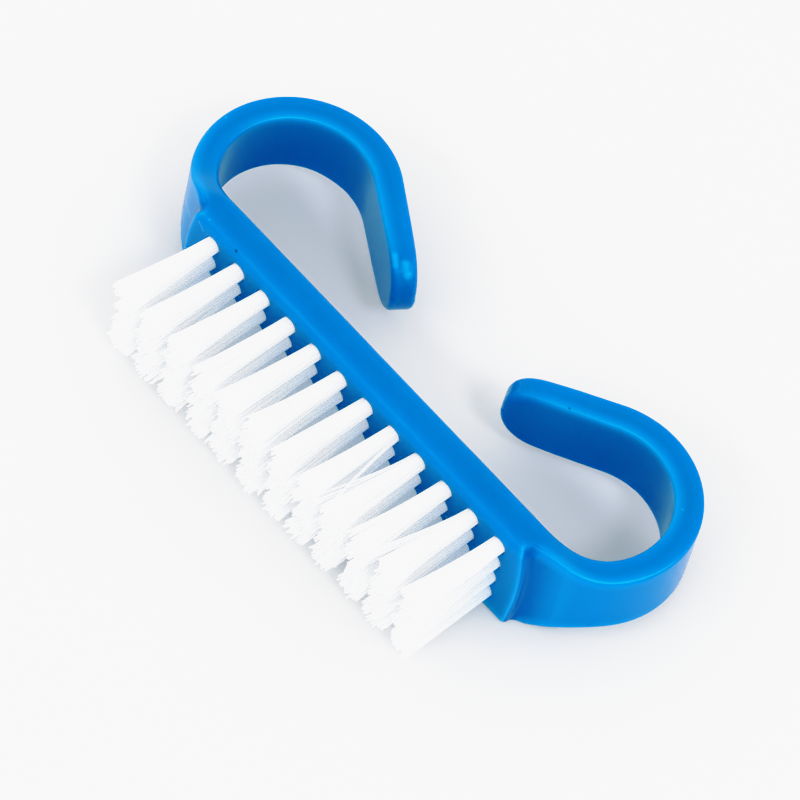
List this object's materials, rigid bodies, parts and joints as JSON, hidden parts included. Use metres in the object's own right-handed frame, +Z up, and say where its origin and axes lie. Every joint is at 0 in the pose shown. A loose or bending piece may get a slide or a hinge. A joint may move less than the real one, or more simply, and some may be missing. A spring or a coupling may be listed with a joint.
{
  "type": "nail brush",
  "caption": "Small nail brush: a moulded plastic head with a curled finger hook at each end and rows of white nylon bristle tufts.",
  "frame": {"origin": "middle of the head's length and of its thickness, on the side face of the head that rests on the table", "axes": "+X along the head's length; -Y the way the bristles point; +Y towards the finger hooks; +Z up, through the head's width, with the brush lying on its side"},
  "size_m": [0.0656, 0.0334, 0.0126],
  "materials": {
    "handle_plastic": "glossy, slightly translucent injection-moulded polypropylene, mid blue",
    "bristle_nylon": "fine white nylon filaments, satin and slightly translucent",
    "anchor_metal": "plain bright flat wire"
  },
  "bodies": {
    "root": {"handle_body": "handle_plastic", "tuft_r1_c01": "bristle_nylon", "tuft_r1_c02": "bristle_nylon", "tuft_r1_c03": "bristle_nylon", "tuft_r1_c04": "bristle_nylon", "tuft_r1_c05": "bristle_nylon", "tuft_r1_c06": "bristle_nylon", "tuft_r1_c07": "bristle_nylon", "tuft_r1_c08": "bristle_nylon", "tuft_r1_c09": "bristle_nylon", "tuft_r1_c10": "bristle_nylon", "tuft_r1_c11": "bristle_nylon", "tuft_r1_c12": "bristle_nylon", "tuft_r2_c01": "bristle_nylon", "tuft_r2_c02": "bristle_nylon", "tuft_r2_c03": "bristle_nylon", "tuft_r2_c04": "bristle_nylon", "tuft_r2_c05": "bristle_nylon", "tuft_r2_c06": "bristle_nylon", "tuft_r2_c07": "bristle_nylon", "tuft_r2_c08": "bristle_nylon", "tuft_r2_c09": "bristle_nylon", "tuft_r2_c10": "bristle_nylon", "tuft_r2_c11": "bristle_nylon", "tuft_r2_c12": "bristle_nylon", "tuft_r3_c01": "bristle_nylon", "tuft_r3_c02": "bristle_nylon", "tuft_r3_c03": "bristle_nylon", "tuft_r3_c04": "bristle_nylon", "tuft_r3_c05": "bristle_nylon", "tuft_r3_c06": "bristle_nylon", "tuft_r3_c07": "bristle_nylon", "tuft_r3_c08": "bristle_nylon", "tuft_r3_c09": "bristle_nylon", "tuft_r3_c10": "bristle_nylon", "tuft_r3_c11": "bristle_nylon", "tuft_r3_c12": "bristle_nylon", "tuft_r4_c01": "bristle_nylon", "tuft_r4_c02": "bristle_nylon", "tuft_r4_c03": "bristle_nylon", "tuft_r4_c04": "bristle_nylon", "tuft_r4_c05": "bristle_nylon", "tuft_r4_c06": "bristle_nylon", "tuft_r4_c07": "bristle_nylon", "tuft_r4_c08": "bristle_nylon", "tuft_r4_c09": "bristle_nylon", "tuft_r4_c10": "bristle_nylon", "tuft_r4_c11": "bristle_nylon", "tuft_r4_c12": "bristle_nylon", "tuft_anchors": "anchor_metal"}
  },
  "joints": []
}
